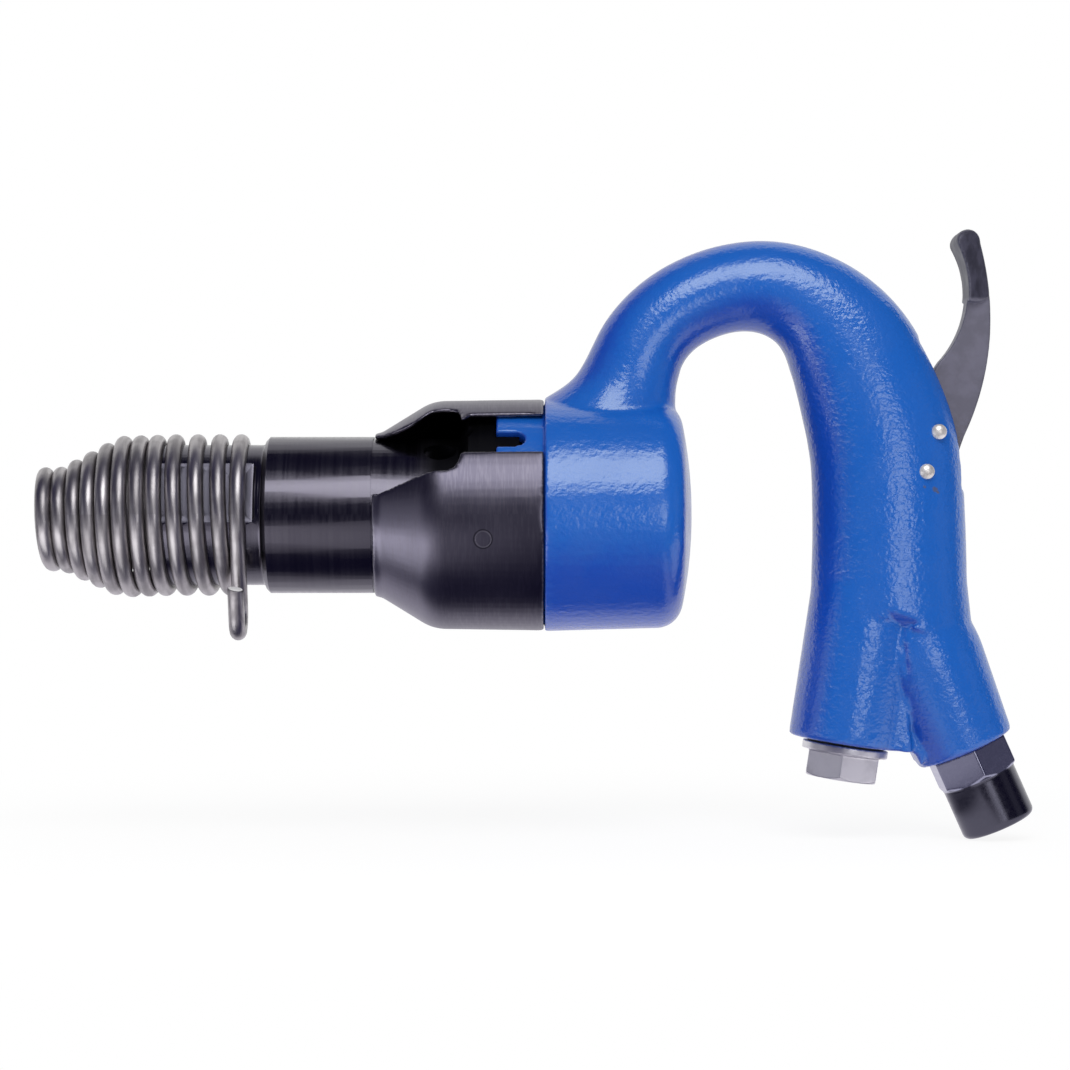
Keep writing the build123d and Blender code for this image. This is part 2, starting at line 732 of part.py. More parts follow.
def make_throttle_lever():
    back = ThreePointArc(*lever_back)
    front = ThreePointArc(*lever_front)
    crown = ThreePointArc(lever_back[0], lever_top, lever_front[0])
    tail_left = stop_offset[0] + pivot_radius - 2 * running_gap + stop_gap
    lower = Polyline(
        lever_front[2], lever_knee, (-toe_reach, toe_lift + toe_radius), (-toe_reach, toe_lift),
        (1.2 * toe_radius - toe_reach, toe_lift - toe_radius / 2),
        (tail_left, -tail_width), (tail_left, -tail_drop), (tail_left + tail_width, -tail_drop),
        lever_back[2])
    side = make_face([back, front, crown, *lower.edges()])
    side += Pos(-toe_reach, toe_lift) * Circle(toe_radius)
    half = lever_thickness / 2
    blade = extrude(Plane.XZ * side, half, both=True)
    lever = Pos(pivot.X, 0, pivot.Z) * (blade + make_lever_pad(side))
    return lever - cross_hole(pivot, pivot_radius)


# Throttle valve train

def make_throttle_plug():
    top = plug_thread_length
    corners = [(0, -plug_flange_height), (plug_flange_radius, -plug_flange_height)]
    corners += [(plug_flange_radius, -seal_height), (plug_thread_radius, -seal_height)]
    corners += [(plug_thread_radius, top)]
    corners += [(plug_recess_radius, top), (plug_recess_radius, top - plug_recess_depth)]
    plug = turned(throttle_axis, corners + [(0, top - plug_recess_depth)])
    head = -plug_flange_height - plug_hex_height
    return plug + hexagon(throttle_axis, head, plug_hex_height, plug_hex_across, plug_hex_turn)


def make_plug_seal():
    inner = plug_thread_radius + press_gap
    return ring(throttle_axis, -seal_height, 0, inner + seal_wall, inner)


def make_throttle_seat():
    start = seat_start
    return ring(throttle_axis, start, start + seat_height, chamber_radius - press_gap, seat_bore_radius)


def make_throttle_valve():
    under = valve_top - valve_head_height
    corners = [(0, under - valve_stem_length), (valve_stem_radius, under - valve_stem_length)]
    corners += [(valve_stem_radius, under), (valve_head_radius, under), (valve_head_radius, valve_top)]
    socket = rod_radius + running_gap
    corners += [(socket, valve_top), (socket, rod_bottom), (0, rod_bottom)]
    return turned(throttle_axis, corners)


def make_push_rod():
    return ring(throttle_axis, rod_bottom, rod_top, rod_radius)


def make_rod_guide():
    start = outlet_top
    return ring(throttle_axis, start, guide_top, guide_radius - press_gap, rod_radius + running_gap)


def make_rod_seal():
    return ring(throttle_axis, outlet_top - rod_seal_height, outlet_top, outlet_radius - press_gap,
                rod_radius + running_gap)


def make_throttle_spring():
    low = plug_thread_length - plug_recess_depth + throttle_wire / 2 + thread_gap
    high = valve_top - valve_head_height - throttle_wire / 2 - thread_gap
    count = round(throttle_turns * 2)

    def point(i):
        angle = math.pi * i
        height = low + (high - low) * i / count
        return throttle_axis.from_local_coords(
            Vector(throttle_coil_radius * math.cos(angle), throttle_coil_radius * math.sin(angle), height))

    def direction(i):
        rise = (high - low) / count / math.pi
        sign = 1 if i % 2 == 0 else -1
        slope = throttle_axis.from_local_coords(Vector(0, sign * throttle_coil_radius, rise))
        return (slope - throttle_axis.origin).normalized()

    edges = []
    for i in range(count):
        edges += biarc(point(i), direction(i), point(i + 1), direction(i + 1))
    return wire_along(edges, throttle_wire / 2)


# Air inlet

def make_inlet_bushing():
    end = -inlet_length
    corners = [(0, end), (inlet_round_radius, end), (inlet_round_radius, -inlet_hex_height)]
    corners += [(inlet_thread_radius, -inlet_hex_height), (inlet_thread_radius, inlet_thread_length)]
    body = turned(inlet_axis, corners + [(0, inlet_thread_length)], [0, inlet_round_edge, 0, 0, 0, 0])
    body += hexagon(inlet_axis, -inlet_hex_height, inlet_hex_height, inlet_hex_across, inlet_hex_turn)
    body -= ring(inlet_axis, end - 1, end + inlet_tap_depth, inlet_tap_radius)
    return body - ring(inlet_axis, end, inlet_thread_length + 1, inlet_bore_radius)


def make_inlet_screen():
    start = inlet_tap_depth - inlet_length
    outer = inlet_bore_radius - press_gap
    screen = ring(inlet_axis, start, start + screen_depth, outer, outer - screen_wall)
    screen += ring(inlet_axis, start + screen_depth - screen_wall, start + screen_depth, outer)
    for i in range(screen_hole_count):
        place = Rot(Z=360 * i / screen_hole_count) * Pos(outer / 2, 0, start + screen_depth)
        screen -= inlet_axis * (place * Cylinder(screen_hole_radius, 4 * screen_wall))
    return screen


# Lock ring and valve chest

def make_lock_ring():
    inner = thread_radius + thread_gap
    outer = inner + ring_wall
    body = ring(tool_axis, ring_x, ring_rear_x, outer, inner)
    tang = ring(tool_axis, ring_rear_x - 1, ring_rear_x + tang_length, outer, inner + thread_gap)
    gate = Pos(ring_rear_x + tang_length / 2, 0) * Rectangle(2 * tang_length, tang_width)
    return body + (tang & (radial_plane(notch_angle) * extrude(gate, 2 * outer)))


def dowel_places(x):
    """Frames on the dowel circle, each with its normal along the tool."""
    for i in range(dowel_count):
        angle = math.tau * i / dowel_count
        centre = Vector(x, dowel_circle * math.cos(angle), dowel_circle * math.sin(angle))
        yield Plane(origin=centre, x_dir=(0, 1, 0), z_dir=(1, 0, 0))


def dowel_hole(gap=running_gap):
    length = case_length + 2 * dowel_depth
    return ring(Plane.XY, -gap, length + gap, dowel_radius + gap)


def make_valve_case():
    case = ring(tool_axis, barrel_rear_x, case_rear_x, chest_radius - thread_gap, case_port_radius)
    case -= ring(tool_axis, barrel_rear_x + case_port_length, case_rear_x + 1, valve_radius)
    for place in dowel_places(barrel_rear_x - dowel_depth):
        case -= place * dowel_hole()
    return case


def make_valve_cover():
    cover = ring(tool_axis, case_rear_x, cover_rear_x, chest_radius - thread_gap)
    for place in dowel_places(barrel_rear_x - dowel_depth):
        cover -= place * dowel_hole()
    return cover


def make_main_valve():
    start = barrel_rear_x + case_port_length + running_gap
    return ring(tool_axis, start, start + valve_length, valve_radius - running_gap, valve_bore_radius)


def make_valve_dowels():
    reach = min(dowel_depth, cover_length - 1)
    length = case_length + dowel_depth + reach - running_gap
    places = dowel_places(barrel_rear_x - dowel_depth)
    pins = [place * ring(Plane.XY, 0, length, dowel_radius) for place in places]
    return Compound(children=pins)


nodes = {
    "handle": make_handle,
    "barrel": make_barrel,
    "chisel_bushing": make_chisel_bushing,
    "retainer_spring": make_retainer_spring,
    "exhaust_deflector": make_exhaust_deflector,
    "piston": make_piston,
    "lock_ring": make_lock_ring,
    "valve_case": make_valve_case,
    "valve_cover": make_valve_cover,
    "main_valve": make_main_valve,
    "valve_dowels": make_valve_dowels,
    "throttle_lever": make_throttle_lever,
    "push_rod": make_push_rod,
    "push_rod_guide": make_rod_guide,
    "push_rod_seal": make_rod_seal,
    "throttle_seat": make_throttle_seat,
    "throttle_valve": make_throttle_valve,
    "throttle_spring": make_throttle_spring,
    "throttle_plug": make_throttle_plug,
    "plug_seal": make_plug_seal,
    "inlet_bushing": make_inlet_bushing,
    "inlet_screen": make_inlet_screen,
}

os.makedirs("parts", exist_ok=True)
for name, make in nodes.items():
    export_step(make(), f"parts/{name}.step")
for name, centre in (("lever_pin", pivot), ("stop_pin", stop)):
    export_step(make_pin(centre), f"parts/{name}.step")
print("least gap between the retainer spring's turns", round(spring_self_gap(), 3))
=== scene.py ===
import bmesh
import bpy
import json
import math
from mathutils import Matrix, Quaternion, Vector

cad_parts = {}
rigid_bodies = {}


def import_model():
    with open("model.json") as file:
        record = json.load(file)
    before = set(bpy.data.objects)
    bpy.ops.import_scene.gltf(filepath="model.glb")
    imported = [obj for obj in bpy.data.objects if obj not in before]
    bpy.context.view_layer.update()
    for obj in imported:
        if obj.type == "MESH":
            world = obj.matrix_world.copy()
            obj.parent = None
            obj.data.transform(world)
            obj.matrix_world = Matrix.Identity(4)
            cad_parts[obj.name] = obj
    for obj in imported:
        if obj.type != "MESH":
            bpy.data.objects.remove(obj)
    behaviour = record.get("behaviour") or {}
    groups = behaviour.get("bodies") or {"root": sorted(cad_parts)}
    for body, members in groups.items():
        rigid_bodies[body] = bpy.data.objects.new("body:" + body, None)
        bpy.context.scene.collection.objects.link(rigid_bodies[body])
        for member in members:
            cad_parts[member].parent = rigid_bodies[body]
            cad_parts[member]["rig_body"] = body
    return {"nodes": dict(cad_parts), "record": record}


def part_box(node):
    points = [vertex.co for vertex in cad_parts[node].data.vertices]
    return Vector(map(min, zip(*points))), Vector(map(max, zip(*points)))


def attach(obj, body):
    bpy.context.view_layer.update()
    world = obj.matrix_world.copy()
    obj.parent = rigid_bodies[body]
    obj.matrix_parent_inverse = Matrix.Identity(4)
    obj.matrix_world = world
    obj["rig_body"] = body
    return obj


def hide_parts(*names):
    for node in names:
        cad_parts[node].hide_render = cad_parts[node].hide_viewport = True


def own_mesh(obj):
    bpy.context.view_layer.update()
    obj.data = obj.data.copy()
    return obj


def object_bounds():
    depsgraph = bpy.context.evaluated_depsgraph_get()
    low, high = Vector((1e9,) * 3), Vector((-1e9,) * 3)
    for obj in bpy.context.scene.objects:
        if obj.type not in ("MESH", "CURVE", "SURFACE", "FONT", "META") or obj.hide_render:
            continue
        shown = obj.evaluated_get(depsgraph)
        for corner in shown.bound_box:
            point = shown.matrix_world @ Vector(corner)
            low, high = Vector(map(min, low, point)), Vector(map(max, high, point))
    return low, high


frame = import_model()
nodes = frame["nodes"]
cadLow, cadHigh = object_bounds()
slotOf = {part["node"]: part["material_slot"] for part in frame["record"]["subparts"]}
scene = bpy.context.scene
mm = 0.001
mergeGap = 0.002 * mm  # points closer than this are one
print("frame loaded with", len(nodes), "nodes")


# Node helpers

def plug(tree, socket, value):
    if isinstance(value, bpy.types.NodeSocket):
        tree.links.new(value, socket)
    else:
        socket.default_value = value


def feed(tree, node, inputs):
    for key, value in inputs.items():
        plug(tree, node.inputs[key], value)


def addNode(tree, kind, inputs=None, **settings):
    node = tree.nodes.new(kind)
    for key, value in settings.items():
        setattr(node, key, value)
    feed(tree, node, inputs or {})
    return node


def calc(tree, operation, a, b=0.0):
    return addNode(tree, "ShaderNodeMath", {0: a, 1: b}, operation=operation).outputs[0]


def ease(tree, value, low, high, toLow=0.0, toHigh=1.0):
    # smooth step from low to high
    sockets = {0: value, 1: low, 2: high, 3: toLow, 4: toHigh}
    return addNode(tree, "ShaderNodeMapRange", sockets, interpolation_type="SMOOTHSTEP").outputs[0]


def mixColour(tree, factor, a, b):
    return addNode(tree, "ShaderNodeMix", {0: factor, 6: a, 7: b}, data_type="RGBA").outputs[2]


def noise(tree, vector, scale, detail, roughness):
    sockets = {"Vector": vector, "Scale": scale, "Detail": detail, "Roughness": roughness}
    return addNode(tree, "ShaderNodeTexNoise", sockets).outputs[0]


def bump(tree, height, depth):
    sockets = {"Height": height, "Distance": depth, "Strength": 1.0}
    return addNode(tree, "ShaderNodeBump", sockets).outputs[0]


def objectPoint(tree):
    return addNode(tree, "ShaderNodeTexCoord").outputs["Object"]


def surfaceNormal(tree):
    return addNode(tree, "ShaderNodeTexCoord").outputs["Normal"]


def axes(tree, vector):
    return addNode(tree, "ShaderNodeSeparateXYZ", {"Vector": vector}).outputs


def attribute(tree, name):
    return addNode(tree, "ShaderNodeAttribute", attribute_name=name).outputs["Fac"]


def distance(tree, a, b):
    return calc(tree, "SQRT", calc(tree, "ADD", calc(tree, "MULTIPLY", a, a), calc(tree, "MULTIPLY", b, b)))


def distanceFrom(tree, a, b, centre):
    return distance(tree, calc(tree, "SUBTRACT", a, centre[0]), calc(tree, "SUBTRACT", b, centre[1]))


def reachAlong(tree, a, b, way):
    # how far the point (a, b) lies along a direction
    return calc(tree, "ADD", calc(tree, "MULTIPLY", a, way[0]), calc(tree, "MULTIPLY", b, way[1]))


def newGroup(name, inputs, outputs):
    group = bpy.data.node_groups.new(name, "ShaderNodeTree")
    for socketName, kind in inputs.items():
        group.interface.new_socket(socketName, in_out="INPUT", socket_type="NodeSocket" + kind)
    for socketName in outputs:
        group.interface.new_socket(socketName, in_out="OUTPUT", socket_type="NodeSocketFloat")
    return group, group.nodes.new("NodeGroupInput").outputs, group.nodes.new("NodeGroupOutput").inputs


def useGroup(tree, group, inputs):
    return addNode(tree, "ShaderNodeGroup", inputs, node_tree=group).outputs


# Effects that several finishes share

effectLook = {
    "peelDrawn": (1.0, 1.0, 1.1), "fineShare": 0.35,  # pebbles a little flatter than long
    "toneSize": 0.23,  # slow change of tone, against the fine lines
    "rubSpan": (0.35, 0.7)}


def makeOrangePeel():
    # the pebbled skin of thick sprayed enamel
    inputs = {"Vector": "Vector", "Peel Scale": "Float", "Fine Scale": "Float", "Drift Scale": "Float"}
    group, given, out = newGroup("orangePeel", inputs, ["Height", "Drift"])
    drawn = addNode(group, "ShaderNodeMapping", {0: given["Vector"], 3: effectLook["peelDrawn"]}).outputs[0]
    peel = noise(group, drawn, given["Peel Scale"], detail=1.5, roughness=0.45)
    fine = noise(group, drawn, given["Fine Scale"], detail=1.0, roughness=0.5)
    height = calc(group, "ADD", peel, calc(group, "MULTIPLY", fine, effectLook["fineShare"]))
    drift = noise(group, given["Vector"], given["Drift Scale"], detail=1.0, roughness=0.4)
    group.links.new(height, out["Height"])
    group.links.new(drift, out["Drift"])
    return group


def makeFineGrain():
    # close grain, and broad blotches
    inputs = {"Vector": "Vector", "Grain Scale": "Float", "Blotch Scale": "Float"}
    group, given, out = newGroup("fineGrain", inputs, ["Height", "Blotch"])
    grain = noise(group, given["Vector"], given["Grain Scale"], detail=3.0, roughness=0.6)
    blotch = noise(group, given["Vector"], given["Blotch Scale"], detail=3.0, roughness=0.55)
    group.links.new(grain, out["Height"])
    group.links.new(blotch, out["Blotch"])
    return group


def makeTurnedMarks():
    # fine lines round the X axis, slowly changing along the line
    inputs = {"Vector": "Vector", "Line Scale": "Float", "Run": "Float"}
    group, given, out = newGroup("turnedMarks", inputs, ["Height", "Tone"])
    x, y, z = axes(group, given["Vector"])
    angle = calc(group, "MULTIPLY", calc(group, "ARCTAN2", z, y), given["Run"])
    lineX = calc(group, "MULTIPLY", x, given["Line Scale"])
    lineR = calc(group, "MULTIPLY", distance(group, y, z), given["Line Scale"])
    place = addNode(group, "ShaderNodeCombineXYZ", {0: lineX, 1: lineR, 2: angle}).outputs[0]
    group.links.new(noise(group, place, 1.0, detail=2.0, roughness=0.6), out["Height"])
    group.links.new(noise(group, place, effectLook["toneSize"], detail=2.0, roughness=0.5), out["Tone"])
    return group


def makeEdgeRub():
    # edges where the finish is rubbed, broken up by a noise
    inputs = {"Edge": "Float", "Vector": "Vector", "Break Scale": "Float", "Amount": "Float"}
    group, given, out = newGroup("edgeRub", inputs, ["Mask"])
    broken = noise(group, given["Vector"], given["Break Scale"], detail=3.0, roughness=0.65)
    level = calc(group, "MULTIPLY", ease(group, broken, *effectLook["rubSpan"]), given["Edge"])
    group.links.new(calc(group, "MULTIPLY", level, given["Amount"]), out["Mask"])
    return group


orangePeel = makeOrangePeel()
fineGrain = makeFineGrain()
turnedMarks = makeTurnedMarks()
edgeRub = makeEdgeRub()


# Finishes

blotchSpan = (0.35, 0.7)  # values of a noise that a colour blends over
toneSpan = (0.3, 0.7)  # and those that a roughness blends over


def newFinish(name):
    material = bpy.data.materials.new(name)
    material.use_nodes = True
    return material, material.node_tree, material.node_tree.nodes["Principled BSDF"]


def rubEdges(tree, point, colour, look):
    mask = useGroup(tree, edgeRub, {"Edge": attribute(tree, "edgeRub"), "Vector": point,
                                    "Break Scale": look["rubScale"], "Amount": look["rub"]})["Mask"]
    return mixColour(tree, mask, colour, look["rubbed"])


def grainOf(tree, point, look):
    return useGroup(tree, fineGrain, {"Vector": point, "Grain Scale": look["grainScale"],
                                      "Blotch Scale": look["blotchScale"]})


def marksOf(tree, point, look):
    return useGroup(tree, turnedMarks, {"Vector": point, "Line Scale": look["lineScale"], "Run": look["run"]})


blueEnamel = {
    # colour is the lit azure and shadedBlue the shaded blue: painted sheen and painted shade
    "colour": (0.0065, 0.1040, 0.465, 1), "shadedBlue": (0.0050, 0.0560, 0.392, 1),
    "facing": (0.30, 0.85, 0.43), "turn": (0.50, 0.86), "mottle": 0.12, "peelMiddle": 0.65,
    "rubbed": (0.024, 0.105, 0.46, 1), "rubScale": 500.0, "rub": 0.35,
    "peelScale": 560.0, "fineScale": 1300.0, "driftScale": 110.0, "depth": 0.13 * mm,
    "gripX": (180 * mm, 210 * mm), "gripPeel": 1.8, "gripSheen": 0.16,
    "roughness": (0.20, 0.25), "specular": 1.0, "tint": (0.86, 0.92, 0.76, 1),
    "chip": (0.085, 0.085, 0.11, 1), "chipShare": 0.75, "chipScale": 1400.0, "chipRagged": 1.2 * mm,
    "chipSoft": (0.8 * mm, 0.2 * mm),
    "chips": [(231.6 * mm, 8.4 * mm, 0.5 * mm), (235.0 * mm, 7.6 * mm, 0.9 * mm),
              (235.8 * mm, 6.9 * mm, 0.6 * mm)]}


def makeBlueEnamel():
    look = blueEnamel
    material, tree, shader = newFinish("blueEnamel")
    point = objectPoint(tree)
    x, y, z = axes(tree, point)
    peel = useGroup(tree, orangePeel, {"Vector": point, "Peel Scale": look["peelScale"],
                                       "Fine Scale": look["fineScale"], "Drift Scale": look["driftScale"]})
    # painted shade and sheen: the enamel is a deeper blue on faces that look down or to the nose and a
    # lighter azure on faces turned up, sideways and to the rear, alike on both sides
    normal = surfaceNormal(tree)
    mirrored = addNode(tree, "ShaderNodeVectorMath", {0: normal, 1: (1, -1, 1)}, operation="MULTIPLY")
    sides = [addNode(tree, "ShaderNodeVectorMath", {0: side, 1: look["facing"]}, operation="DOT_PRODUCT")
             for side in (normal, mirrored.outputs[0])]
    sheenAndMottle = calc(tree, "MAXIMUM", *[side.outputs["Value"] for side in sides])
    # random mottle from the peel, plus more painted sheen on the grip
    mottle = calc(tree, "SUBTRACT", peel["Height"], look["peelMiddle"])
    mottle = calc(tree, "MULTIPLY", mottle, look["mottle"])
    grip = ease(tree, x, *look["gripX"], 0.0, look["gripSheen"])
    sheenAndMottle = calc(tree, "ADD", sheenAndMottle, calc(tree, "ADD", mottle, grip))
    colour = mixColour(tree, ease(tree, sheenAndMottle, *look["turn"]), look["shadedBlue"], look["colour"])
    colour = rubEdges(tree, point, colour, look)
    # a few small chips by the lower pin, on the near side
    near = calc(tree, "MULTIPLY", calc(tree, "LESS_THAN", y, 0.0), look["chipShare"])
    ragged = noise(tree, point, look["chipScale"], detail=2.0, roughness=0.6)
    ragged = calc(tree, "MULTIPLY", ragged, look["chipRagged"])
    softStart, softEnd = look["chipSoft"]
    for chipX, chipZ, radius in look["chips"]:
        away = calc(tree, "ADD", distanceFrom(tree, x, z, (chipX, chipZ)), ragged)
        mask = ease(tree, away, radius + softStart, radius + softEnd)
        colour = mixColour(tree, calc(tree, "MULTIPLY", mask, near), colour, look["chip"])
    # the grip's skin is coarser than the head's
    height = calc(tree, "MULTIPLY", peel["Height"], ease(tree, x, *look["gripX"], 1.0, look["gripPeel"]))
    feed(tree, shader, {"Base Color": colour,
                        "Roughness": ease(tree, peel["Drift"], *toneSpan, *look["roughness"]),
                        "Specular IOR Level": look["specular"], "Specular Tint": look["tint"],
                        "Normal": bump(tree, height, look["depth"])})
    return material


blackOxide = {
    "colour": (0.094, 0.089, 0.110, 1), "worn": (0.108, 0.103, 0.124, 1),
    "rubbed": (0.22, 0.21, 0.24, 1), "rubScale": 900.0, "rub": 0.5,
    "lineScale": 3800.0, "run": 1.2, "depth": 0.0016 * mm, "roughness": (0.20, 0.26)}
barrelOxide = {
    **blackOxide, "sleeveShade": (0.010, 0.010, 0.012, 1), "sleeveShadeX": (77 * mm, 86 * mm),
    "sleeveShadeEnd": (141 * mm, 140 * mm), "sleeveShadeRough": 0.30,
    "flat": (0.185, 0.18, 0.22, 1), "flatPlace": 19.2 * mm, "flatTilt": 20,
    "flatEdge": (0.12 * mm, 0.05 * mm), "flatEnd": 30 * mm, "flatRough": 0.30}
inletOxide = {
    **blackOxide, "colour": (0.30, 0.305, 0.405, 1), "worn": (0.34, 0.345, 0.45, 1),
    "rubbed": (0.40, 0.40, 0.50, 1), "round": (0.090, 0.089, 0.115, 1), "axis": (-0.4067, 0.9135),
    "roundFrom": (-174.7 * mm, -175.0 * mm), "roundRough": 0.0}


def barrelMarks(tree, point, look):
    # painted shade on the barrel where it lies inside the sleeve, darker and rougher there, and the two
    # ground flats of the nose
    x, y, z = axes(tree, point)
    sleeveShade = calc(tree, "MULTIPLY", ease(tree, x, *look["sleeveShadeX"]), ease(tree, x, *look["sleeveShadeEnd"]))
    tilt = math.radians(look["flatTilt"])
    across = reachAlong(tree, y, z, (-math.cos(tilt), math.sin(tilt)))
    off = calc(tree, "SUBTRACT", calc(tree, "ABSOLUTE", across), look["flatPlace"])
    flat = ease(tree, calc(tree, "ABSOLUTE", off), *look["flatEdge"])
    flat = calc(tree, "MULTIPLY", flat, calc(tree, "LESS_THAN", x, look["flatEnd"]))
    return [(sleeveShade, look["sleeveShade"], look["sleeveShadeRough"]), (flat, look["flat"], look["flatRough"])]


def inletMarks(tree, point, look):
    # the round below the hexagon is darker
    x, y, z = axes(tree, point)
    below = ease(tree, reachAlong(tree, x, z, look["axis"]), *look["roundFrom"])
    return [(below, look["round"], look["roundRough"])]


def makeBlackOxide(name, look, findMarks):
    material, tree, shader = newFinish(name)
    point = objectPoint(tree)
    marks = marksOf(tree, point, look)
    colour = mixColour(tree, ease(tree, marks["Tone"], *blotchSpan), look["colour"], look["worn"])
    colour = rubEdges(tree, point, colour, look)
    rough = ease(tree, marks["Tone"], *toneSpan, *look["roughness"])
    for mask, markColour, markRough in findMarks(tree, point, look):
        colour = mixColour(tree, mask, colour, markColour)
        rough = calc(tree, "ADD", rough, calc(tree, "MULTIPLY", mask, markRough))
    feed(tree, shader, {"Base Color": colour, "Metallic": 1.0, "Roughness": rough,
                        "Normal": bump(tree, marks["Height"], look["depth"])})
    return material


satinBlack = {
    "colour": (0.103, 0.097, 0.129, 1), "worn": (0.121, 0.114, 0.148, 1),
    "coneSheen": (0.185, 0.176, 0.225, 1), "coneSheenX": (89 * mm, 79 * mm), "coneSheenZ": (9 * mm, -3 * mm),
    "rubbed": (0.30, 0.29, 0.32, 1), "rubScale": 800.0, "rub": 0.6,
    "grainScale": 2600.0, "blotchScale": 45.0, "depth": 0.003 * mm, "roughness": (0.32, 0.38),
    "lineScale": 1700.0, "run": 7.0, "brushed": (0.165, 0.155, 0.190, 1), "brush": 0.42,
    "brushSpan": (0.42, 0.68),
    "ringCentre": (99.7 * mm, -7.3 * mm), "ringLine": 0.32 * mm, "ringDepth": 8.0,
    # the outer ring line is painted shadow, the inner one painted highlight
    "rings": [(2.75 * mm, (0.025, 0.024, 0.030, 1), 0.8), (2.3 * mm, (0.26, 0.25, 0.28, 1), 0.6)]}


def makeSatinBlack():
    look = satinBlack
    material, tree, shader = newFinish("satinBlack")
    point = objectPoint(tree)
    x, y, z = axes(tree, point)
    grain = grainOf(tree, point, look)
    colour = mixColour(tree, ease(tree, grain["Blotch"], *blotchSpan), look["colour"], look["worn"])
    # painted highlight: the cone's lower side is lighter, standing in for the light it catches
    coneSheen = calc(tree, "MULTIPLY", ease(tree, x, *look["coneSheenX"]), ease(tree, z, *look["coneSheenZ"]))
    colour = mixColour(tree, coneSheen, colour, look["coneSheen"])
    brush = ease(tree, marksOf(tree, point, look)["Height"], *look["brushSpan"], 0.0, look["brush"])
    colour = mixColour(tree, brush, colour, look["brushed"])
    colour = rubEdges(tree, point, colour, look)
    # a faint pressed ring on the near side: a painted shadow line outside and a painted highlight line inside
    near = calc(tree, "LESS_THAN", y, 0.0)
    away = distanceFrom(tree, x, z, look["ringCentre"])
    for radius, tone, share in look["rings"]:
        aside = calc(tree, "ABSOLUTE", calc(tree, "SUBTRACT", away, radius))
        line = calc(tree, "MULTIPLY", ease(tree, aside, look["ringLine"], 0.0), near)
        colour = mixColour(tree, calc(tree, "MULTIPLY", line, share), colour, tone)
    height = calc(tree, "SUBTRACT", grain["Height"], calc(tree, "MULTIPLY", line, look["ringDepth"]))
    feed(tree, shader, {"Base Color": colour, "Metallic": 1.0,
                        "Roughness": ease(tree, grain["Blotch"], *toneSpan, *look["roughness"]),
                        "Normal": bump(tree, height, look["depth"])})
    return material


springWire = {
    "colour": (0.435, 0.415, 0.42, 1), "dark": (0.285, 0.27, 0.275, 1), "darkSpan": (0.12, 0.34),
    "cut": (0.92, 0.92, 0.93, 1), "cutMetal": 0.25, "grainScale": 1500.0, "blotchScale": 160.0,
    "lineScale": 2200.0, "run": 5.0, "depth": 0.008 * mm, "roughness": (0.45, 0.34)}


def makeSpringWire():
    look = springWire
    material, tree, shader = newFinish("springWire")
    point = objectPoint(tree)
    marks = marksOf(tree, point, look)
    tone = calc(tree, "MULTIPLY", marks["Tone"], grainOf(tree, point, look)["Blotch"])
    colour = mixColour(tree, ease(tree, tone, *look["darkSpan"]), look["dark"], look["colour"])
    # the cut end is near-white and mostly not metallic: bare cut steel, partly a painted highlight
    cut = attribute(tree, "cutEnd")
    colour = mixColour(tree, cut, colour, look["cut"])
    feed(tree, shader, {"Base Color": colour, "Metallic": ease(tree, cut, 0.0, 1.0, 1.0, look["cutMetal"]),
                        "Roughness": ease(tree, marks["Tone"], *toneSpan, *look["roughness"]),
                        "Normal": bump(tree, marks["Height"], look["depth"])})
    return material


leverSteel = {
    "colour": (0.142, 0.137, 0.186, 1), "dark": (0.112, 0.108, 0.146, 1), "darkSpan": (0.35, 0.65),
    "brown": (0.092, 0.080, 0.082, 1), "brownZ": (34 * mm, 16 * mm),
    "rim": (0.062, 0.060, 0.092, 1), "flank": (0.034, 0.033, 0.052, 1), "padZ": (65.2 * mm, 66.4 * mm),
    "flankFace": (0.55, 0.85), "padScale": 170.0, "padDrawn": (1.5, 1.0, 0.6), "flankShadeBreak": (0.62, 0.40),
    "rubbed": (0.20, 0.20, 0.25, 1), "rubScale": 700.0, "rub": 0.35,
    "grainScale": 1900.0, "blotchScale": 190.0, "depth": 0.010 * mm, "roughness": (0.42, 0.52),
    "metallic": 0.25}


def makeLeverSteel():
    look = leverSteel
    material, tree, shader = newFinish("leverSteel")
    point = objectPoint(tree)
    z = axes(tree, point)[2]
    grain = grainOf(tree, point, look)
    colour = mixColour(tree, ease(tree, grain["Blotch"], *look["darkSpan"]), look["dark"], look["colour"])
    stain = calc(tree, "MULTIPLY", ease(tree, z, *look["brownZ"]), ease(tree, grain["Height"], *toneSpan))
    colour = mixColour(tree, stain, colour, look["brown"])
    # the pad above padZ is darker; painted shade on its flanks, picked by the way they face, broken up in
    # places by a noise
    pad = ease(tree, z, *look["padZ"])
    colour = mixColour(tree, pad, colour, look["rim"])
    facing = calc(tree, "ABSOLUTE", axes(tree, surfaceNormal(tree))[1])
    drawn = addNode(tree, "ShaderNodeMapping", {0: point, 3: look["padDrawn"]}).outputs[0]
    worn = ease(tree, noise(tree, drawn, look["padScale"], detail=3.0, roughness=0.6), *look["flankShadeBreak"])
    flank = calc(tree, "MULTIPLY", ease(tree, facing, *look["flankFace"]), pad)
    colour = mixColour(tree, calc(tree, "MULTIPLY", flank, worn), colour, look["flank"])
    colour = rubEdges(tree, point, colour, look)
    feed(tree, shader, {"Base Color": colour, "Metallic": look["metallic"],
                        "Roughness": ease(tree, grain["Blotch"], *toneSpan, *look["roughness"]),
                        "Normal": bump(tree, grain["Height"], look["depth"])})
    return material


